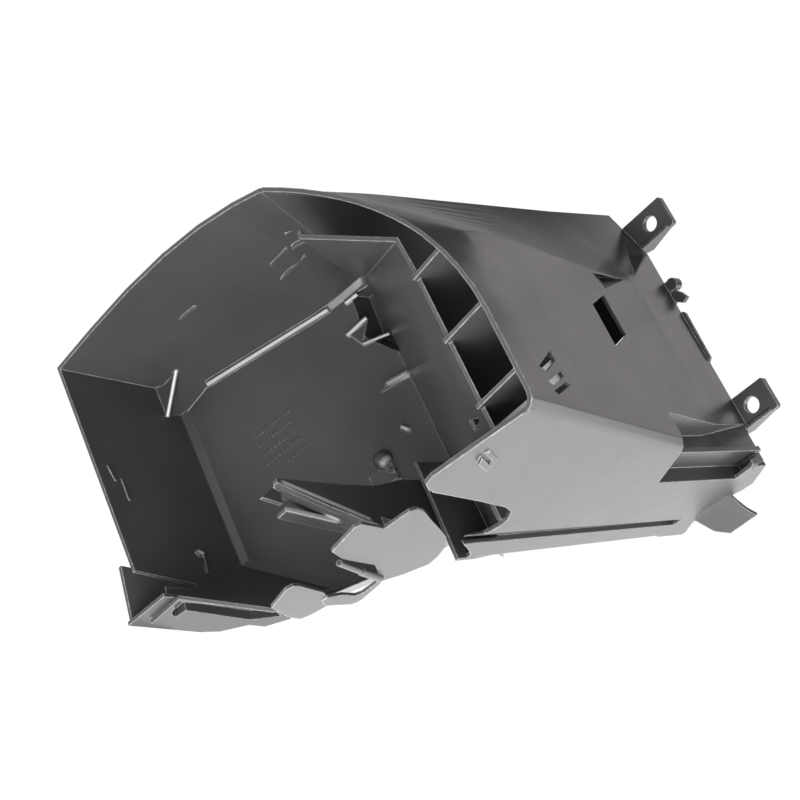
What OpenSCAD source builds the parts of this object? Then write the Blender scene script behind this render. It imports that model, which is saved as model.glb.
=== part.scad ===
// Moulded housing: an open bin lying on its side wall, with an air duct running back over it.
// X runs from the mouth to the rear, Y towards the back wall and Z up. Sizes are millimetres.
// The origin of the finished part is the middle of the bore of the front tab.

/* [Main body] */
// Wall of the whole moulding
wall = 1.8; // [1.6:0.1:2.2]
// Length of the duct from the mouth to its rear edge
duct_len = 212; // [200:1:224]
// Width from the mouth corner to the outside of the front wall
body_w = 170; // [160:1:180]
// Height of the roof over the bin floor at the mouth
mouth_h = 226; // [218:1:234]
// Fall of the roof for each millimetre of length
roof_fall = 0.22; // [0.18:0.01:0.25]
// Distance from the mouth to the flatter strip along the rear of the roof
strip_x = 175; // [165:1:185]
// Fall of the rear strip for each millimetre of length
strip_fall = 0.186; // [0.15:0.002:0.22]
// Height of the point where the bowed back wall meets the curved shoulder
arch_h = 157.4; // [150:0.2:164]
// How far the back wall leans in at that point
arch_in = 22; // [21:0.5:24]
// Rise of the back edge of the roof from the mouth to the rear
back_rise = 14; // [8:1:18]
// Width of the rounded shoulder at the mouth
shoulder_w = 110; // [100:1:118]
// Length over which the rounded shoulder turns into a flat chamfer
shoulder_run = 62; // [40:1:90]
// Height of the duct floor
duct_floor = 112; // [109:0.5:114]
// Radius of the rounded front edge of the roof
edge_round = 6; // [3:0.5:8]
// Height of the foot of the front wall over the duct floor
foot_up = 1.6; // [0:0.2:3]

/* [Shoulder chamfer] */
// Distance of the roof crease from the back corner at the mouth
crease_near = 91; // [86:1:96]
// Same distance where the crease turns, near the rear
crease_turn = 79; // [74:1:84]
// Same distance at the rear edge
crease_rear = 52; // [46:1:60]
// Position of the turn of the crease along the length
turn_x = 170; // [166:1:176]
// Height of the back corner at the rear edge
rear_corner_h = 175; // [172:0.5:178]
// Rise of the duct floor from the bin to the rear edge
floor_rise = 4; // [0:0.5:6]

/* [Bin] */
// Depth of the bin at its floor
bin_depth = 60.5; // [54:0.5:66]
// Lean of the rear wall of the bin for each millimetre of height
rear_lean = 0.36; // [0.3:0.01:0.42]
// Depth of the bevel round the rear wall
corner_cut = 2.4; // [1:0.2:4]
// Height of the top of the rear wall, where the ramp starts
ramp_foot = 109; // [108:0.5:110.5]
// Drop of the inner rim, where the ramp ends, below the roof
rim_drop = 25; // [20:1:30]
// Setback of the inner rim from the mouth
rim_back = 5; // [3:0.5:8]
// Width of the bin floor at the mouth
floor_w = 131; // [126:1:136]
// Width of the bin floor at the rear wall
floor_rear_w = 109.5; // [104:0.5:114]
// Height of the sill where its slope starts
sill_low = 23; // [18:1:28]
// Height of the sill where it meets the front wall
sill_high = 82; // [78:1:86]
// Rise of the valley of the inner rim over the top of the back wall
valley_up = 1.6; // [0:0.2:4]

/* [Roof ribs and openings] */
// Thickness of the three ribs between the ramp and the roof
rib_t = 1.6; // [1.2:0.1:2.2]
// Distance of the first rib from the back corner
rib_first = 99.6; // [97:0.2:103]
// Spacing of the ribs
rib_pitch = 27.7; // [24:0.1:28]
// Depth of the ribs into the duct
rib_len = 70; // [40:1:90]

/* [Fixing tabs] */
// Bore of the two fixing tabs
tab_bore = 7.7; // [5:0.1:8.5]
// Thickness of the tabs
tab_t = 2.6; // [2:0.1:4]
// Width of a tab
tab_w = 16; // [14:0.5:18]
// Height of a tab over the middle of its bore
tab_over = 11; // [9:0.5:13]
// Distance of the front tab bore from the back corner
front_tab_y = 143.4; // [138:0.2:146]
// Height of the front tab bore over the rear edge of the roof
front_tab_up = 7.382; // [6.4:0.002:9]
// Distance of the back tab bore from the back corner
back_tab_y = 40.4; // [38:0.2:44]
// Height of the back tab bore over the rear edge of the roof
back_tab_up = 9.182; // [8:0.002:11]

/* [Roof recess] */
// Start of the level recess at the front edge of the roof
recess_x = 134.7; // [128:0.1:144]
// Depth of its ledge below the rear edge of the roof
recess_deep = 1.3; // [0.6:0.1:2]
// Width of the ledge
ledge_w = 16; // [12:0.5:18]
// Depth of the slot in the front wall under the ledge
slot_deep = 7; // [4:0.5:8]
// Height of that slot
slot_h = 11.3; // [8:0.1:14]

/* [Seam] */
// Depth of the groove along the foot of the front wall
seam_deep = 2.8; // [1:0.1:3.4]

/* [Latch arm] */
// Height of the top of the latch arm
arm_z = 102.6; // [100:0.2:105]
// Thickness of the latch arm
arm_t = 2.6; // [2:0.1:3.4]

/* [Side plates] */
// Thickness of the plates that stand along the front side
plate_t = 1.4; // [1.2:0.1:2.4]
// Depth of the stepped strip under the bin floor
joggle = 6.5; // [4:0.5:9]

/* [Hidden] */
fine = 32;
span = 400;
edge_h = roof(duct_len);
rim_h = mouth_h - rim_drop;
valley_h = arch_h + valley_up;
front_tab_z = edge_h + front_tab_up;
back_tab_z = edge_h + back_tab_up;
ledge_h = edge_h - recess_deep;
moulding = [0.17, 0.17, 0.18];

// Left hand normal of the step from a to b
function side(a, b) = [a[1] - b[1], b[0] - a[0]] / norm(b - a);
function turn(ring, i) = ring[(i + len(ring)) % len(ring)];
// Ring moved inwards by d with mitred corners
function inset(ring, d) = [for (i = [0:len(ring) - 1])
    let (n = side(turn(ring, i - 1), ring[i]), m = side(ring[i], turn(ring, i + 1)))
    ring[i] + d * (n + m) / max(1 + n * m, 0.6)];
// Ring of [y, z] points set on a plane that leans back with height
function stand(ring, x, lean) = [for (p = ring) [x + lean * p[1], p[0], p[1]]];
function middle(ring) = [for (k = [0:2]) [for (p = ring) p[k]] * [for (p = ring) 1] / len(ring)];

// Solid through a row of rings with the same number of points
module loft(rings) {
  n = len(rings[0]);
  last = len(rings) - 1;
  points = concat([for (r = rings) each r], [middle(rings[0]), middle(rings[last])]);
  sides = [for (s = [0:last - 1], i = [0:n - 1], h = [0, 1])
      let (j = (i + 1) % n, a = s * n + i, b = s * n + j, c = a + n, d = b + n)
      h == 0 ? [a, d, b] : [a, c, d]];
  near = [for (i = [0:n - 1]) [(last + 1) * n, i, (i + 1) % n]];
  far = [for (i = [0:n - 1]) [(last + 1) * n + 1, last * n + (i + 1) % n, last * n + i]];
  polyhedron(points = points, faces = concat(sides, near, far), convexity = 6);
}

// Round bar from a to b
module rod(a, b, r) {
  d = b - a;
  translate(a)
    rotate([0, acos(d[2] / norm(d)), atan2(d[1], d[0])])
      cylinder(r = r, h = norm(d), $fn = 16);
}

// Plate drawn in [x, z] and standing behind a plane of constant y
module upright(y, t) {
  translate([0, y + t, 0])
    rotate([90, 0, 0])
      linear_extrude(t)
        children();
}

// Plate drawn in [y, z] and standing behind a plane of constant x
module across(x, t) {
  translate([x, 0, 0])
    rotate([90, 0, 90])
      linear_extrude(t)
        children();
}

function roof(x) = mouth_h - roof_fall * min(x, strip_x) - strip_fall * max(0, x - strip_x);
function back_edge(x) = arch_h + back_rise * pow(min(x, turn_x) / duct_len, 0.7)
    + (rear_corner_h - arch_h - back_rise) * max(0, x - turn_x) / (duct_len - turn_x);
function crease(x) = lookup(x, [[0, crease_near], [turn_x, crease_turn], [duct_len, crease_rear]]);
function shoulder(t) = [-arch_in - shoulder_w * t,
    arch_h + (mouth_h - arch_h) * (1 - pow(1 - t, 2))];
function chamfer(x, f) = let (z = back_edge(x))
    [-arch_in - f * (crease(x) - arch_in), z + f * (roof(x) - z)];
// Section of the duct at x, from the back edge over the roof and down the front wall
function section(x) = let (b = pow(max(0, 1 - x / shoulder_run), 2))
  concat(
    [for (i = [0:9]) b * shoulder(0.625 * i / 9) + (1 - b) * chamfer(x, i / 9)],
    [for (t = [0.72, 0.81, 0.9, 1]) let (y = -arch_in - shoulder_w * t)
      [y, b * shoulder(t)[1] + (1 - b) * roof(x)]],
    [for (a = [90, 60, 30, 0]) [-body_w + edge_round * (1 - cos(a)), roof(x) - edge_round * (1 - sin(a))]],
    [[-body_w, floor_at(x) + foot_up], [-arch_in, floor_at(x)]]);
function floor_at(x) = duct_floor + floor_rise * max(0, (x - bin_depth) / (duct_len - bin_depth));

stations = concat([for (i = [0:9]) shoulder_run * i / 9], [turn_x, strip_x, duct_len]);

module duct(d, from, to) {
  ends = [for (x = stations) x == 0 ? from : x == duct_len ? to : x];
  loft([for (i = [0:len(stations) - 1]) stand(inset(section(stations[i]), d), ends[i], 0)]);
}

// Bowed line of the back wall at height z
function bow(z) = -arch_in * pow(z / arch_h, 3);
front_in = -body_w + wall;
// Mouth of the bin as [y, z, setback], starting at the corner on the bench
mouth_ring = concat(
    [[-wall, wall, 0]],
    [for (z = [0.2, 0.4, 0.58, 0.74, 0.88, 0.985]) [bow(arch_h * z) - wall, arch_h * z, 0]],
    [[-arch_in - 11, arch_h + 5, 1], [-48.5, valley_h, 1], [-82, rim_h - 1, 1],
     [-98, rim_h, 1], [front_in, rim_h, 1], [front_in, sill_high, 0],
     [front_in + 5, sill_high - 10, 0], [-floor_w, sill_low, 0], [-floor_w + 0.5, wall, 0]]);
rear_ring = [[-13, wall], [-16.5, 10], [-18.5, 20], [-20.5, 50], [-22.4, 80], [-21.5, 95],
    [-20, ramp_foot - 2.5], [-20.2, ramp_foot - 1.5], [-20.6, ramp_foot - 0.8],
    [-21.5, ramp_foot], [-60, ramp_foot], [front_in, ramp_foot], [-151, ramp_foot - 8],
    [-150, 76], [-145, 40], [-floor_rear_w, wall]];
function flat(ring) = [for (p = ring) [p[0], p[1]]];
// Ring drawn in towards the middle of the rear wall
function shrink(ring, k) = [for (p = ring) [-80, 56] + k * (p - [-80, 56])];

module bin(d, from) {
  lip = inset(flat(mouth_ring), d);
  step = d < 0 ? wall * 1.06 : 0;
  loft([stand(lip, from, 0),
        [for (i = [0:len(lip) - 1]) [rim_back * mouth_ring[i][2], lip[i][0], lip[i][1]]],
        stand(inset(rear_ring, d), bin_depth + step - corner_cut, rear_lean),
        stand(shrink(inset(rear_ring, d), 0.955), bin_depth + step, rear_lean)]);
}

// Gap beside the back wall, where the bin and the duct share one corner
module corner_gap() {
  loft([stand([[-14, 176], [-47.6, 176], [-47.6, valley_h - 1.2], [-14, valley_h - 14]], -1, 0),
        stand([[-14, 113], [-20.4, 113], [-20.4, ramp_foot - 1.4], [-14, ramp_foot - 4]], 98, 0)]);
}

module ribs() {
  for (i = [0:2])
    upright(-rib_first - rib_pitch * i - rib_t / 2, rib_t)
      polygon([[rim_back, rim_h - 20], [0.6, mouth_h - 4], [0.6, mouth_h + 4],
               [rib_len, mouth_h + 4], [rib_len, rim_h - 100]]);
}

// Cut away of the front wall between the duct and the sill
module notch() {
  upright(-body_w - 4, 24)
    polygon([[-10, 172], [6.4, 168], [33.5, 161], [54.5, 155], [62, 151], [66.5, 144],
             [66.5, 139.5], [63.5, 133.5], [55, 131], [55.5, 127.5], [64, 122], [71.6, 115.8],
             [72, 108], [60, 86], [-10, 84]]);
  // Room over the shelf behind the front wall
  upright(front_in, 26)
    polygon([[50, duct_floor + wall], [50, 154], [66, 139], [92, duct_floor + wall]]);
}

module shell() {
  difference() {
    union() {
      duct(0, 0, duct_len);
      bin(-wall, -0.01);
      rear_pocket(wall);
    }
    difference() {
      duct(wall, -1, duct_len - wall);
      difference() {
        intersection() {
          bin(-wall, 0);
          translate([rim_back, -span / 2, 0])
            cube([span, span, span]);
        }
        corner_gap();
      }
      ribs();
      recess_walls();
      seam_wall();
      roof_dents(1.7);
      rear_pocket(wall);
    }
    bin(0, -2);
    notch();
    recess();
    roof_slots();
    roof_dents(1);
    seam();
    rear_pocket(0);
    channel_gap();
  }
}

// Slanted end of the recess, as the x of a point [y, z]
function recess_end(p) = recess_x - 0.184 * (p[0] + body_w) - 0.554 * (p[1] - ledge_h);
function slanted(ring, back) = [for (p = ring) [recess_end(p) - back, p[0], p[1]]];
over = mouth_h - 18;
slot_y = -body_w + slot_deep;
slot_z = ledge_h - slot_h;
function recess_ring(y) = [[y, over], [-body_w - 2, over], [-body_w - 2, ledge_h],
    [-body_w + ledge_w, ledge_h], [y, ledge_h + recess_deep]];
function recess_back(y) = [[y + wall, over], [y - 1, over], [y - 1, ledge_h - wall],
    [y + wall, ledge_h - wall]];

// Level recess at the rear of the front edge, with the slot in the front wall under it
module recess() {
  loft([slanted(recess_ring(-body_w + 15), 0), stand(recess_ring(-body_w + 16.1), strip_x - 3, 0),
        stand(recess_ring(-body_w + 21.6), duct_len + 4, 0)]);
  slot = [[slot_y, ledge_h + 0.2], [-body_w - 2, ledge_h + 0.2], [-body_w - 2, slot_z], [slot_y, slot_z]];
  loft([slanted(slot, 0), stand(slot, duct_len - 10, 0)]);
}

// Walls inside the duct that follow the recess
module recess_walls() {
  loft([stand(recess_back(-body_w + 15), recess_x - 18, 0),
        stand(recess_back(-body_w + 16.1), strip_x - 3, 0),
        stand(recess_back(-body_w + 21.6), duct_len, 0)]);
  end = [[-body_w + 23, over], [-body_w, over], [-body_w, slot_z - wall], [-body_w + 23, slot_z - wall]];
  loft([slanted(end, wall), slanted(end, -0.2)]);
  translate([recess_x - 4, -body_w + 0.5, slot_z - wall])
    cube([duct_len - recess_x + 4, slot_deep - 0.5 + wall, wall + 0.02]);
  translate([recess_x - 4, slot_y - 0.02, slot_z - wall])
    cube([duct_len - recess_x + 4, wall + 0.02, slot_h + wall]);
  translate([recess_x - 4, slot_y, ledge_h - wall])
    cube([duct_len - recess_x + 4, ledge_w, wall + recess_deep]);
}

// Raised rim between the ledge and the slot
module recess_rim() {
  rim = [[slot_y + 2.2, ledge_h + 1.5], [slot_y - 0.2, ledge_h + 1.5],
         [slot_y - 0.2, ledge_h - 2], [slot_y + 2.2, ledge_h - 2]];
  loft([slanted(rim, 1), stand(rim, duct_len - 0.2, 0)]);
}

// Openings of the roof
module roof_slots() {
  translate([0, 0, arch_h])
    linear_extrude(80) {
      polygon([[123, -96], [103, -105.5], [103, -126.5], [123, -116.5]]);
      polygon([[31.8, -142.8], [32.4, -147], [19.8, -154], [15.6, -152.6]]);
      polygon([[32.6, -151.5], [33.4, -153.6], [20, -159.6], [17.6, -158.4]]);
      polygon([[34, -155.4], [34.6, -157.2], [21.4, -163], [18.4, -162]]);
    }
}

// Dents of the roof on its crease and in front of the back tab, grown for their own walls
module roof_dents(grow) {
  dent([117.3, -85.8, roof(117.3) + 1], [127.1, -92.7, roof(127.1) + 0.3],
       [163.3, -79.6, roof(163.3) + 1], [141, -79, roof(141) - 4.4], grow);
  dent([duct_len - 35, -74.5, roof(duct_len - 35) + 1], [duct_len - 2.5, -53, edge_h + 1],
       [duct_len + 2, -29, edge_h - 2], [duct_len - 14, -50, edge_h - 6.3], grow);
}

module dent(a, b, c, d, grow) {
  mid = (a + b + c) / 3;
  wedge(mid + (a - mid) * grow, mid + (b - mid) * grow, mid + (c - mid) * grow, mid + (d - mid) * grow);
}

// Hollow groove along the foot of the front wall
module seam() {
  loft([stand([[-body_w + 0.02, 134.4], [-body_w - 1, 134.4], [-body_w - 1, 126.4],
               [-body_w + seam_deep, 126.8]], 52, 0),
        stand([[-body_w + 0.02, 132.2], [-body_w - 1, 132.2], [-body_w - 1, 127.2],
               [-body_w + seam_deep, 127.6]], duct_len + 14, 0)]);
}

// Wall that follows the groove inside the duct
module seam_wall() {
  translate([40, -body_w + 0.6, 126.8 - wall])
    cube([duct_len - 40, seam_deep + wall - 0.6, 10]);
}

// Blind pocket in the top corner of the rear wall, grown by grow for its own walls
module rear_pocket(grow) {
  across(bin_depth + 25.5, 22 + grow)
    offset(delta = grow)
      polygon([[-24, 98], [-25, 108.4], [-63, 108.4], [-58, 104], [-46, 96]]);
}

// Shelf at the corner of the bin behind the notch
module shelf() {
  translate([0, 0, duct_floor])
    linear_extrude(wall)
      polygon([[68, -124], [66, -body_w], [77, -body_w], [100, -body_w + wall], [108, -124]]);
}

// Solid wedge between four points, of which the last sees the others clockwise
module wedge(a, b, c, d) {
  polyhedron(points = [a, b, c, d], faces = [[0, 2, 1], [0, 1, 3], [1, 2, 3], [2, 0, 3]]);
}

// Flat facet between three points
module web(a, b, c, t) {
  n = cross(b - a, c - a) / norm(cross(b - a, c - a)) * t / 2;
  polyhedron(points = [a + n, b + n, c + n, a - n, b - n, c - n],
    faces = [[2, 1, 0], [3, 4, 5], [0, 1, 4, 3], [1, 2, 5, 4], [2, 0, 3, 5]]);
}

module front_plates() {
  // Large plate with its round top corner
  upright(-body_w, plate_t)
    polygon([[-16.8, 129.7], [-19.6, 147], [-17.5, 149], [-2.3, 144.5], [0, 156.5], [3, 157.6],
             [9, 155.2], [20, 147.5], [30, 141], [40, 134], [47, 126.3], [50, 118],
             [50.6, 111.6], [42, 104.5], [33.5, 100.4], [28.5, 104.4],
             [24, 109], [16.9, 115.5], [4.6, 119.5], [-6.6, 123.3]]);
  // Forward lip of the front wall beside the mouth
  upright(-body_w, wall)
    polygon([[1, mouth_h - 4], [-0.8, mouth_h - 6], [-5.5, mouth_h - 26], [-9.6, mouth_h - 45.5],
             [-8.4, mouth_h - 50.8], [-3, 171], [6.6, 168.2], [6.6, mouth_h - 26]]);
  // Smaller plate by the sill
  upright(-body_w, plate_t)
    polygon([[-14, 87], [-17.6, 101.5], [-16, 104], [-13, 103.8], [6.3, 95.3], [13.8, 89],
             [19.2, 85.7], [14, 76], [10.6, 73.3], [1.8, 76.7]]);
  // Two hook bars under the large plate
  rod([-6.5, -body_w - 0.4, 121], [14.4, -body_w - 0.4, 111], 1.3);
  rod([12.6, -body_w - 0.4, 111.8], [28.5, -body_w - 0.4, 104.6], 1.7);
  // Bowed link from the hook to the smaller plate
  upright(-body_w - 0.6, plate_t)
    polygon([[28.8, 104], [33, 99.7], [33.7, 86.5], [32.4, 84], [30.2, 82.9], [15, 84.6],
             [10, 89], [11, 91.8], [18, 92.6], [27.1, 90.4], [29.4, 92], [30.4, 100]]);
}

// Latch arm reaching from the shelf towards the mouth, with the slat that hangs under it
module latch() {
  translate([0, 0, arm_z - arm_t])
    linear_extrude(arm_t)
      polygon([[-1.2, -124.6], [-0.4, -122.6], [26, -126], [50, -128], [68, -125.6],
               [98, -127], [98, -149], [72, -157], [58, -163], [46, -147.4], [22, -137]]);
  translate([0, 0, arm_z - 9])
    linear_extrude(9)
      polygon([[1, -123.6], [4, -124.4], [30, -137.4], [40, -142.6], [62, -146],
               [62, -148], [38, -144.4], [28, -139.4]]);
  translate([0, 0, arm_z - 13])
    linear_extrude(6.4)
      polygon([[4.6, -133.6], [29, -140.4], [42, -143.6], [42, -142], [29, -138.6], [5, -131.8]]);
  translate([0, 0, arm_z - 7.6])
    linear_extrude(wall)
      polygon([[-6, -127.6], [3, -121.6], [5, -124], [3, -131]]);
  // Web that carries the large plate
  across(46, wall)
    polygon([[-body_w + 0.5, arm_z + 4], [-body_w + 0.5, arm_z + 17], [-152, arm_z + 10],
             [-142, arm_z - 0.6], [-142, arm_z - arm_t], [-154, arm_z - arm_t]]);
}

// Part of the bin floor that is left open over the channel
module channel_gap() {
  translate([0, 0, -1])
    linear_extrude(wall + 2)
      polygon([[-3, -107.4], [0, -107.4], [29.4, -116.6], [34.6, -121.6], [31, -127], [-3, -129]]);
}

// Channel under the bin floor with its upturned outer plate and the blind pocket of the plate
module flange() {
  loft([stand([[-104, wall / 2], [-128.2, 1.6 - joggle], [-128.2, -joggle], [-104, -1]], -5.4, 0),
        stand([[-116, wall / 2], [-136, 3 - joggle], [-136, 1.4 - joggle], [-116, -1]], 36, 0)]);
  translate([0, -floor_w + 1, 0])
    rotate([0, 0, -11.3]) {
      upright(0, wall)
        difference() {
          polygon([[-6.5, -joggle - 0.5], [-4.4, 19.1], [50.5, 20.2], [66.5, 11.7], [58, 2.8],
                   [49.4, 2.9], [39, -5], [30, -joggle - 0.5]]);
          plate_pocket();
        }
      difference() {
        upright(wall - 0.2, 4.4)
          offset(delta = 1.4)
            plate_pocket();
        upright(0, 4.8)
          plate_pocket();
      }
    }
}

module plate_pocket() {
  polygon([[1.1, 16.3], [53.6, 17.7], [60, 13], [47.5, 7.4], [12, 10], [10.8, 3.4],
           [7, 6.2], [5.8, 11.2]]);
}

// Upright tab with its bore at [y, z] on the rear edge of the roof
module tab(y, z) {
  half = tab_w / 2;
  difference() {
    across(duct_len, tab_t)
      polygon([[y + half, z - 14], [y - half, z - 14], [y - half, z + tab_over - 1],
               [y - half + 1, z + tab_over], [y + half - 1, z + tab_over],
               [y + half, z + tab_over - 1]]);
    translate([duct_len - 1, y, z])
      rotate([0, 90, 0])
        cylinder(d = tab_bore, h = tab_t + 2, $fn = 48);
  }
}

module tabs() {
  for (p = [[-back_tab_y, back_tab_z], [-front_tab_y, front_tab_z]]) {
    tab(p[0], p[1]);
    // Gusset behind the tab
    upright(p[0] - tab_w / 2, 1.4)
      polygon([[duct_len - 1, p[1] - 14], [duct_len - 1, p[1] + 7], [duct_len + tab_t, p[1] + 7],
               [duct_len + 8, p[1] - 9], [duct_len + 6, p[1] - 12]]);
  }
}

// Plan of the spring tongue beyond the duct, as [x, y, lower edge, upper edge]
tongue = [[-3, 1.2, 0, 25], [4, 1.6, 0, 24], [8, 0.2, 0, 22.6], [11.4, -2.6, 0.4, 22],
    [15, -7, 2, 22.4], [18, -11.2, 7.2, 24]];
function tongue_ring(i) = let (p = tongue[i], a = tongue[max(i - 1, 0)], b = tongue[min(i + 1, 5)],
    n = side([a[0], a[1]], [b[0], b[1]]) * 0.9, x = duct_len + p[0], y = -body_w + p[1], z = 129.6)
  [[x + n[0], y + n[1], z + p[2]], [x + n[0], y + n[1], z + p[3]],
   [x - n[0], y - n[1], z + p[3]], [x - n[0], y - n[1], z + p[2]]];

// Rear end of the front wall and its spring tongue
module spring() {
  translate([duct_len, 0, 0])
    upright(-body_w, wall)
      polygon([[-7, ledge_h - 1], [-0.3, ledge_h], [4.1, ledge_h - 6], [11.4, 163], [10.5, 157],
               [7.3, 152], [-2, 151.4], [-3.4, 146], [0, 136], [6.4, 129.1], [7.7, 125.9],
               [12.9, 118.1], [12, floor_at(duct_len)], [-8, floor_at(duct_len)]]);
  loft([for (i = [0:5]) tongue_ring(i)]);
}

// Small open clip and the stops on the rear edge of the roof
module clip() {
  translate([duct_len - 1.2, -72.4, edge_h + 3.6])
    rotate([0, 90, 0])
      difference() {
        cylinder(r = 3, h = 4.4, $fn = fine);
        translate([0, 0, 1.6])
          cylinder(r = 1.6, h = 7, $fn = fine);
      }
  across(duct_len - 1, 2.4)
    polygon([[-69.6, edge_h - 3], [-69.6, edge_h + 2.4], [-75.2, edge_h + 2.4], [-75.6, edge_h - 3]]);
  across(duct_len - 0.6, 2.2)
    polygon([[-74, edge_h - 3], [-73.6, edge_h + 1.4], [-78, edge_h + 5.1], [-82.2, edge_h + 6.9],
             [-83.3, edge_h + 3.6], [-80.5, edge_h + 0.4], [-82, edge_h - 3]]);
  across(duct_len - 0.4, 1.2)
    polygon([[-86, edge_h - 3], [-86.6, edge_h + 1], [-88, edge_h + 2], [-113, edge_h + 1.6],
             [-114.6, edge_h], [-114.6, edge_h - 3]]);
}

// Point behind the face of the rear wall by x, at [y, z]
function rear(x, y, z) = [bin_depth + rear_lean * z + x, y, z];

// Small forms on the inner walls of the bin
module bin_details() {
  // Bead along the corner of back and rear wall
  rod(rear(-0.9, -20.2, 19), rear(-1.2, -23.8, 87), 1.6);
  // Block across the bottom corner with its rounded front edge
  loft([stand([[-27.6, wall / 2], [-8, wall / 2], [-12.6, 20.6]], 50.1, 0),
        stand([[-27.6, wall / 2], [-8, wall / 2], [-20.4, 20.8]], bin_depth + 1, rear_lean)]);
  rod([50.1, -28, 2.2], [49.8, -13.2, 20.6], 1.3);
  // Domed boss and its foot
  translate(rear(-0.9, -102.6, 80.6))
    rotate([0, 90, 0])
      sphere(r = 4.8, $fn = fine);
  rod(rear(-0.4, -105, 77), rear(-1.7, -110, 84), 1.3);
  // Snap bars beside the opening
  rod(rear(-0.4, -26, 94.6), rear(-0.4, -25.4, 101.4), 1.2);
  rod(rear(-0.5, -40.4, 89), rear(-0.3, -38.2, 100.6), 1.3);
  rod(rear(-0.5, -48.6, 94), rear(-0.6, -51.6, 107), 0.9);
  web(rear(-0.7, -40, 90), rear(-0.6, -48.6, 93.6), rear(1.9, -38, 100), 1.4);
  upright(-74, 1.6)
    polygon([for (p = [rear(0, 0, 92), rear(0, 0, 108.6), rear(-3, 0, 108), rear(-4.7, 0, 99)])
      [p[0], p[2]]]);
  rod(rear(-0.5, -93.2, 93.8), rear(0.7, -96.4, 96), 1.6);
  rod(rear(-4.6, -75, 111.5), rear(-3.3, -80, 112), 1.1);
  // Block at the sill side of the rear wall
  translate(rear(-2, -114, 72))
    rotate([0, 20, 0])
      cube([3.6, 8, 13]);
}

// Slot frame and hooks on the back wall
module back_details() {
  rod([46.2, -16.4, 105.1], [42.2, -19, 120.5], 0.9);
  rod([56.4, -17.8, 98.1], [55.5, -19.2, 117.2], 0.9);
  rod([45.2, -18.9, 121.1], [46.4, -20.4, 128], 1.4);
  rod([35.5, -18.6, 128.7], [36.5, -20.2, 136], 0.9);
  rod([37.4, -20.5, 134.9], [43.2, -20.4, 130], 0.7);
  rod([31.1, -10.4, 55.3], [31.6, -11.7, 66.6], 0.9);
}

// Hook and witness marks on the bin floor
module floor_details() {
  rod([36.6, -100.5, wall], [38.4, -103.6, wall + 1.6], 1.3);
  rod([38.4, -103.6, wall + 1.4], [37.9, -112, wall + 0.4], 0.8);
  rod([6.2, -54.1, wall], [7.5, -62.1, wall], 0.5);
  rod([11.1, -61.1, wall], [10.9, -72.6, wall], 0.5);
}

// Pad of a clip on the front wall beside the mouth
module pad() {
  translate([0, 0, mouth_h - 38]) {
    upright(-body_w - 1.4, 2)
      polygon([[2.4, 6.1], [12, 0.6], [13.6, -3.4], [4.6, 1.6]]);
    upright(-body_w - 0.8, 2)
      polygon([[4, 9.2], [13.1, 3.8], [14.3, -1], [12.4, -0.6], [11.4, 2.6], [3, 7.4]]);
  }
}

module housing() {
  color(moulding)
    translate([-duct_len - tab_t / 2, front_tab_y, -front_tab_z]) {
      shell();
      recess_rim();
      shelf();
      front_plates();
      latch();
      flange();
      tabs();
      spring();
      clip();
      bin_details();
      back_details();
      floor_details();
      pad();
    }
}

housing();
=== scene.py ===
import math
import random

import bmesh
import bpy
from mathutils import Matrix, Vector


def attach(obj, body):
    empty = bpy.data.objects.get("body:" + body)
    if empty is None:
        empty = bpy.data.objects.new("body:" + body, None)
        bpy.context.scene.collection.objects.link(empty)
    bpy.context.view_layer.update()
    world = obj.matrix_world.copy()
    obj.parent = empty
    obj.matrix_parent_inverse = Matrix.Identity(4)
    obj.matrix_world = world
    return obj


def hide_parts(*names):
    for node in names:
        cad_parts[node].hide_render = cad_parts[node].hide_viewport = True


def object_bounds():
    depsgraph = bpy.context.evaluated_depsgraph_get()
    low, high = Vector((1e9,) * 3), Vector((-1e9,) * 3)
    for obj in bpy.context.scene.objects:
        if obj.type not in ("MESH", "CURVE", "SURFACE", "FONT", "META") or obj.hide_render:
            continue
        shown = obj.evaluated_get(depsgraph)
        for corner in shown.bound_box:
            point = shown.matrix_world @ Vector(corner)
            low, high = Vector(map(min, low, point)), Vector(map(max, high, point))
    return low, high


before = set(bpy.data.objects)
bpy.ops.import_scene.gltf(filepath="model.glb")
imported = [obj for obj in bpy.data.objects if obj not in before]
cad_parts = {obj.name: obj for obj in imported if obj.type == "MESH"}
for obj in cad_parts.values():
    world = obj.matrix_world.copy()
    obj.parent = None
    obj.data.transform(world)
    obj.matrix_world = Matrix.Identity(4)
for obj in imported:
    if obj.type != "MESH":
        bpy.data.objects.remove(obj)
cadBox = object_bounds()
mm = 0.001
# the CAD source counts from the corner of the bin's mouth, and the row frame from the front tab's bore
mouthCorner = Vector((-213.3, 143.4, -188.0)) * mm
print("frame loaded")


def fromMouth(x, y, z):
    return mouthCorner + Vector((x, y, z)) * mm


# shader maths as expressions

class Wire:
    def __init__(self, shader, socket):
        self.shader, self.socket = shader, socket

    def maths(self, operation, other):
        return self.shader.add("ShaderNodeMath", {"operation": operation}, {0: self, 1: other})

    def __add__(self, other): return self.maths("ADD", other)
    def __sub__(self, other): return self.maths("SUBTRACT", other)
    def __mul__(self, other): return self.maths("MULTIPLY", other)
    def __radd__(self, other): return self + other
    def __rmul__(self, other): return self * other
    def __rsub__(self, other): return self * -1 + other

    def clamped(self, low, high):  # from 0 at low to 1 at high
        limits = {"Value": self, "From Min": low, "From Max": high}
        return self.shader.add("ShaderNodeMapRange", {"interpolation_type": "SMOOTHSTEP"}, limits)


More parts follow.
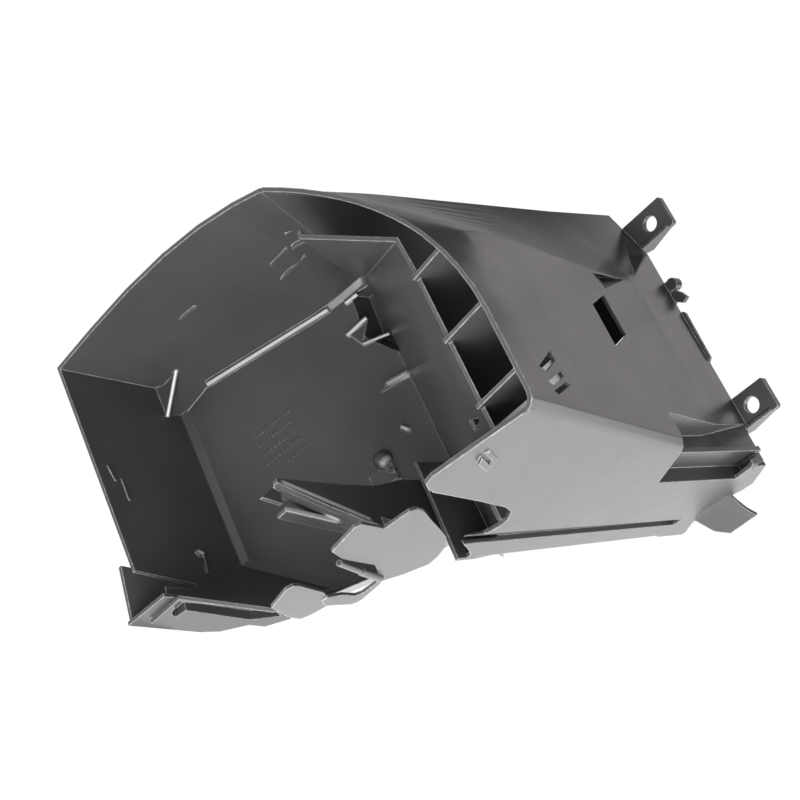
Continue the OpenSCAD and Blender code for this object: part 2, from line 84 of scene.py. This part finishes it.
class Shader:
    def __init__(self, owner):  # a new material or world
        owner.use_nodes = True
        self.owner, self.tree = owner, owner.node_tree

    def feed(self, socket, value):
        if isinstance(value, Wire):
            self.tree.links.new(value.socket, socket)
        else:
            socket.default_value = value

    def add(self, kind, settings=None, inputs=None, out=0):
        made = self.tree.nodes.new(kind)
        for name, value in (settings or {}).items():
            setattr(made, name, value)
        for key, value in (inputs or {}).items():
            self.feed(made.inputs[key], value)
        return Wire(self, made.outputs[out])

    def place(self):
        return self.add("ShaderNodeTexCoord", out="Object")

    def ray(self, kind):
        return self.add("ShaderNodeLightPath", out=kind)

    def vectors(self, operation, one, other=None, out=0):
        inputs = {0: one} if other is None else {0: one, 1: other}
        return self.add("ShaderNodeVectorMath", {"operation": operation}, inputs, out)

    def noise(self, size, detail, rough):  # size of the spots in metres
        inputs = {"Vector": self.place(), "Scale": 1 / size, "Detail": detail, "Roughness": rough}
        return self.add("ShaderNodeTexNoise", None, inputs)

    def blend(self, factor, one, other):
        return self.add("ShaderNodeMix", {"data_type": "RGBA"}, {0: factor, 6: one, 7: other}, out=2)

    def bump(self, height, depth, under):
        inputs = {"Height": height, "Distance": depth, "Normal": under}
        return self.add("ShaderNodeBump", None, inputs)

    def set(self, node, **values):  # the sockets of one of the nodes that come with the owner
        for name, value in values.items():
            self.feed(self.tree.nodes[node].inputs[name.replace("_", " ")], value)
        return self.owner


# painted highlights: a lighter base colour with lower roughness along the rounded crests of the
# moulding, standing in for the lamps' glints there
paintedHighlights = {
    "core": 0.5,  # full tone up to this share of the half width
    "fade": 1.3,  # and none beyond this one
    "endFade": 1.0 * mm,  # to either side of a line's end
    "lines": (
        # from, to and half width, in mm from the mouth's corner
        ((65.2, -21.2, 19), (89.4, -24.8, 87), 1.0),  # bead in the corner
        ((49.3, -28.8, 2.8), (49.0, -14.0, 21.2), 0.9),  # front edge of the corner block
        ((85.4, -104.0, 83.2), (85.4, -105.6, 84.0), 3.4),  # boss
        ((92.8, -94.0, 94.4), (94.8, -97.2, 96.6), 0.9),  # peg beside the boss
        ((91.1, -41.0, 89.4), (95.5, -38.8, 101.0), 0.9),  # three snap bars
        ((93.4, -26.6, 95.0), (95.8, -26.0, 101.8), 0.9),
        ((93.2, -49.0, 94.3), (97.8, -52.0, 107.3), 0.6),
        ((92.4, -74.0, 97.5), (97.6, -74.0, 107.0), 1.8),  # fin
        ((1.5, -124.4, 102.6), (40.0, -143.6, 102.6), 0.9),  # latch arm
        ((5.0, -132.7, 96.0), (29.0, -139.5, 96.0), 1.3),  # slat under the arm
        ((36.6, -100.5, 3.6), (38.4, -103.6, 4.6), 0.9),  # hook on the floor
    ),
}


# mask of a painted highlight: full along a crest line, fading with distance from it and at its ends
def paintedHighlightMask(s, start, end, halfWidth):
    start, end = fromMouth(*start), fromMouth(*end)
    length, along = (end - start).length, (end - start).normalized()
    reach, soft = halfWidth * mm, paintedHighlights["endFade"]
    offset = s.vectors("SUBTRACT", s.place(), start)
    run = s.vectors("DOT_PRODUCT", offset, along, out="Value")
    away = s.vectors("LENGTH", s.vectors("CROSS_PRODUCT", offset, along), out="Value")
    between = run.clamped(-soft, soft) * (1 - run.clamped(length - soft, length + soft))
    return (1 - away.clamped(reach * paintedHighlights["core"], reach * paintedHighlights["fade"])) * between


# black moulded plastic with a fine grain, a cloudy tone, lighter edges that are partly wear and partly
# painted highlight, and painted highlights along its crests
plastic = {
    "dark": (0.040, 0.039, 0.041),
    "light": (0.058, 0.056, 0.056),
    # lighter tone of rounded edges: partly wear, partly painted highlight
    "edge": (0.420, 0.415, 0.415),
    # colour of the painted highlights on the crests
    "paintedHighlightTone": (0.360, 0.357, 0.360),
    # size, detail and roughness of each noise
    "cloud": (26 * mm, 3, 0.55),
    "broad": (85 * mm, 1, 0.4),
    "mottle": (2.4 * mm, 4, 0.6),
    "grain": (0.45 * mm, 2, 0.5),
    # how much cloud, broad and mottle lighten the plastic
    "shares": (0.35, 0.4, 0.25),
    "cloudRange": (0.3, 0.7),
    "broadRange": (0.35, 0.65),
    "mottleRange": (0.3, 0.7),
    "cloudDepth": 0.10 * mm,
    "grainDepth": 0.035 * mm,
    "edgeRadius": 0.9 * mm,
    "edgeSamples": 6,
    "edgeRange": (0.02, 0.20),
    "leastWearAndSheen": 0.4,  # of an edge's tone, where the mottle is lowest
    "wearAndSheenRange": (0.35, 0.7),
    "roughness": 0.31,
    "cloudRoughness": 0.14,
    "mottleRoughness": 0.04,
    "wearAndSheenGloss": 0.12,
    # roughness taken off where the crests carry a painted highlight
    "paintedHighlightGloss": 0.14,
    "specular": 0.55,
}


def mouldedPlastic(name, tone=1.0, wearAndSheen=1.0):
    s = Shader(bpy.data.materials.new(name))
    cloud, broad, mottle, grain = (s.noise(*plastic[k]) for k in ("cloud", "broad", "mottle", "grain"))
    samples, radius = plastic["edgeSamples"], plastic["edgeRadius"]
    rounded = s.add("ShaderNodeBevel", {"samples": samples}, {"Radius": radius})
    face = s.add("ShaderNodeNewGeometry", out="Normal")
    bend = 1 - s.vectors("DOT_PRODUCT", rounded, face, out="Value")
    patchy = mottle.clamped(*plastic["wearAndSheenRange"]) * (1 - plastic["leastWearAndSheen"]) + plastic["leastWearAndSheen"]
    # edges take a lighter tone, partly wear and partly painted highlight, patchy with the mottle
    wearAndSheenMask = bend.clamped(*plastic["edgeRange"]) * patchy * wearAndSheen
    # painted highlights along the listed crest lines
    highlightMask = sum(paintedHighlightMask(s, *line) for line in paintedHighlights["lines"])

    dark, light, edge, paintedHighlightTone = (
        [c * tone for c in plastic[k]] + [1] for k in ("dark", "light", "edge", "paintedHighlightTone"))
    cloudShare, broadShare, mottleShare = plastic["shares"]
    lightness = cloud.clamped(*plastic["cloudRange"]) * cloudShare
    lightness += broad.clamped(*plastic["broadRange"]) * broadShare + mottle * mottleShare
    # the plastic's own tone, then the edges' tone of wear and painted highlight, then the crests'
    # painted highlight
    colour = s.blend(highlightMask, s.blend(wearAndSheenMask, s.blend(lightness, dark, light), edge), paintedHighlightTone)

    rough = plastic["roughness"] + (cloud - 0.5) * plastic["cloudRoughness"]
    rough += mottle.clamped(*plastic["mottleRange"]) * plastic["mottleRoughness"]
    rough -= wearAndSheenMask * plastic["wearAndSheenGloss"] + highlightMask * plastic["paintedHighlightGloss"]
    relief = s.bump(grain, plastic["grainDepth"], s.bump(cloud, plastic["cloudDepth"], rounded))
    return s.set("Principled BSDF", Base_Color=colour, Roughness=rough, Normal=relief,
                 Specular_IOR_Level=plastic["specular"])


plasticMaterial = mouldedPlastic("mouldedPlastic")
print("materials made")


def placeMesh(name, shape, material):
    mesh = bpy.data.meshes.new(name)
    shape.to_mesh(mesh)
    shape.free()
    mesh.materials.append(material)
    made = bpy.data.objects.new(name, mesh)
    bpy.context.collection.objects.link(made)
    return made


# the housing's own skin: the CAD solid with its corners welded and its curved faces shaded smooth
housingSkin = {"creaseAngle": 24, "weld": 0.002 * mm}


def makeHousing():
    shape = bmesh.new()
    shape.from_mesh(bpy.data.objects["housing"].data)
    bmesh.ops.remove_doubles(shape, verts=shape.verts, dist=housingSkin["weld"])
    for face in shape.faces:
        face.smooth = True
    crease = math.radians(housingSkin["creaseAngle"])
    for line in shape.edges:
        line.smooth = len(line.link_faces) == 2 and line.calc_face_angle(0) < crease
    made = placeMesh("housingShell", shape, plasticMaterial)
    weighted = made.modifiers.new("evenNormals", "WEIGHTED_NORMAL")
    weighted.keep_sharp = True
    weighted.mode = "FACE_AREA_WITH_ANGLE"
    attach(made, "root")
    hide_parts("housing")


makeHousing()
print("housing skin made")


# block of plain mould-marking bars on the rear wall of the bin, lengths in mm
markBlock = {
    # low near, high near, high far and low far corner
    "corners": ((71.0, -55.0, 29.0), (79.0, -53.0, 50.5), (78.6, -80.0, 50.5), (71.0, -80.0, 29.0)),
    "rows": 5,
    "firstRow": 0.25,  # in rows
    "barHeight": 0.5,  # in rows
    "margins": (0.4, 2),  # near and far end of a row
    "barWidths": (0.8, 2.2),
    "gaps": (0.5, 1.1),
    "standOut": 0.35,
    "sunk": 0.4,
    "lid": 0.82,  # size of a bar's top against its foot
    "tone": 1.1,  # against the housing's own
    # share of the edges' lighter tone, wear and painted highlight, on the bars
    "wearAndSheen": 0.22,
    "seed": 7,
}


def addBar(shape, corners, out):
    middle = sum(corners, Vector()) / 4
    lift, narrow = out * markBlock["standOut"], markBlock["lid"]
    foot = [shape.verts.new(c - out * markBlock["sunk"]) for c in corners]
    lid = [shape.verts.new(middle + (c - middle) * narrow + lift) for c in corners]
    shape.faces.new(lid)
    shape.faces.new(foot[::-1])
    for i in range(4):
        j = (i + 1) % 4
        shape.faces.new((foot[i], foot[j], lid[j], lid[i]))


def makeMarkBars():
    draw = random.Random(markBlock["seed"])
    low, high, _, lowFar = (fromMouth(*c) for c in markBlock["corners"])
    across, up = (high - low).normalized(), (lowFar - low).normalized()
    out = up.cross(across).normalized() * mm
    if out.x > 0:  # the bars stand out towards the mouth
        out = -out
    width, rowHeight = (high - low).length, (lowFar - low).length / markBlock["rows"]
    margin, farMargin = (m * mm for m in markBlock["margins"])
    shape = bmesh.new()
    for row in range(markBlock["rows"]):
        bottom = rowHeight * (row + markBlock["firstRow"])
        top = bottom + rowHeight * markBlock["barHeight"]
        at = margin
        while at < width - farMargin:
            end = at + draw.uniform(*markBlock["barWidths"]) * mm
            square = ((at, bottom), (end, bottom), (end, top), (at, top))
            addBar(shape, [low + across * a + up * b for a, b in square], out)
            at = end + draw.uniform(*markBlock["gaps"]) * mm
    bmesh.ops.recalc_face_normals(shape, faces=shape.faces)
    barMaterial = mouldedPlastic("mouldedPlasticBars", markBlock["tone"], markBlock["wearAndSheen"])
    made = placeMesh("markBars", shape, barMaterial)
    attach(made, "root")


makeMarkBars()
print("mark bars made")


studio = {
    "floorColour": (0.86, 0.86, 0.86, 1),
    "floorRoughness": 0.9,
    "floorSize": 9.0,
    "floorGap": 0.2 * mm,
    "white": 1.05,
    "paper": 0.94,  # how much of the floor's face is plain white to the camera
    "mirrored": 0.20,  # and to the gloss of the plastic
    "ambient": 0.14,
    "softboxes": (
        # name, place, target, width, height, power, colour
        ("keyBox", (-0.85, -1.00, 0.12), (-0.15, 0.05, -0.10), 0.9, 0.6, 20, (1, 1, 1)),
        ("cardBox", (0.10, -0.305, -0.1945), (0.10, -0.305, 1.0), 1.1, 0.63, 2.3, (1, 1, 1)),
        ("backBox", (1.30, 0.50, 0.42), (-0.10, 0.05, 0.0), 1.2, 0.7, 3.0, (1, 0.93, 0.95)),
        ("sideBox", (1.00, -0.85, 0.30), (-0.10, 0.00, 0.0), 0.9, 0.7, 9.3, (1, 0.98, 0.98)),
        ("lowLeftBox", (-0.80, -0.55, -0.10), (-0.15, 0.05, -0.10), 0.3, 0.18, 1.5, (0.98, 0.97, 1)),
        ("mouthBox", (-0.60, -0.13, -0.10), (-0.14, 0.11, -0.12), 0.12, 0.12, 0.6, (1, 1, 1)),
        ("highLeftBox", (-0.95, 0.30, 0.90), (-0.15, 0.05, -0.10), 1.0, 1.0, 4.2, (1, 1, 1)),
        ("highFrontBox", (-0.20, -1.10, 0.90), (-0.15, 0.05, -0.10), 0.8, 0.8, 1.0, (1, 1, 1)),
        ("cameraBox", (-0.95, -0.45, 0.45), (-0.15, 0.05, -0.10), 0.95, 0.95, 4.4, (0.98, 0.97, 1)),
        ("ductBox", (-0.02, 0.05, -0.05), (-0.2, 0.05, -0.05), 0.11, 0.035, 0.05, (1, 1, 1)),
    ),
}


def paperMaterial():
    s = Shader(bpy.data.materials.new("floorPaper"))
    s.set("Principled BSDF", Base_Color=studio["floorColour"], Roughness=studio["floorRoughness"])
    face = Wire(s, s.tree.nodes["Principled BSDF"].outputs[0])
    plain = s.add("ShaderNodeEmission", None, {"Color": (1, 1, 1, 1), "Strength": studio["white"]})
    seen = s.ray("Is Camera Ray") + s.ray("Is Transmission Ray")
    shown = seen * studio["paper"] + s.ray("Is Glossy Ray") * studio["mirrored"]
    mixed = s.add("ShaderNodeMixShader", None, {0: shown, 1: face, 2: plain})
    return s.set("Material Output", Surface=mixed)


def makeFloor():
    low, high = cadBox
    middle = (low + high) / 2
    half = studio["floorSize"] / 2
    level = low.z - studio["floorGap"]
    shape = bmesh.new()
    turns = ((-1, -1), (1, -1), (1, 1), (-1, 1))
    corners = ((middle.x + a * half, middle.y + b * half, level) for a, b in turns)
    shape.faces.new([shape.verts.new(c) for c in corners])
    placeMesh("floorPaper", shape, paperMaterial())


def makeSoftboxes():
    for name, place, target, width, height, power, colour in studio["softboxes"]:
        lamp = bpy.data.lights.new(name, "AREA")
        lamp.shape = "RECTANGLE"
        lamp.size, lamp.size_y = width, height
        lamp.energy = power
        lamp.color = colour
        box = bpy.data.objects.new(name, lamp)
        box.location = place
        box.rotation_euler = (Vector(target) - Vector(place)).to_track_quat("-Z", "Y").to_euler()
        box.visible_camera = False
        bpy.context.collection.objects.link(box)


def makeWorld():
    s = Shader(bpy.data.worlds.new("studioAir"))
    seen = s.ray("Is Camera Ray") + s.ray("Is Transmission Ray")
    strength = seen * (1 - studio["ambient"]) + studio["ambient"]
    bpy.context.scene.world = s.set("Background", Color=(1, 1, 1, 1), Strength=strength)


makeFloor()
makeSoftboxes()
makeWorld()
print("studio made")


# camera of the photograph
cameraView = {
    "place": (-600.1, -201.3, 294.4),  # in mm
    "right": (0.6943, -0.3940, 0.6022),
    "up": (-0.0101, 0.8314, 0.5555),
    "lens": 67.5,
    "sensor": 36,
    "clip": (0.01, 50),  # in metres
}


def makeCamera():
    right = Vector(cameraView["right"]).normalized()
    up = Vector(cameraView["up"])
    up = (up - right * up.dot(right)).normalized()
    lens = bpy.data.cameras.new("photoCamera")
    lens.lens = cameraView["lens"]
    lens.sensor_width = cameraView["sensor"]
    lens.clip_start, lens.clip_end = cameraView["clip"]
    made = bpy.data.objects.new("photoCamera", lens)
    turn = Matrix((right, up, right.cross(up))).transposed().to_4x4()
    made.matrix_world = Matrix.Translation(Vector(cameraView["place"]) * mm) @ turn
    bpy.context.collection.objects.link(made)
    bpy.context.scene.camera = made


makeCamera()
bpy.context.scene.view_settings.view_transform = "Standard"
print("camera placed")
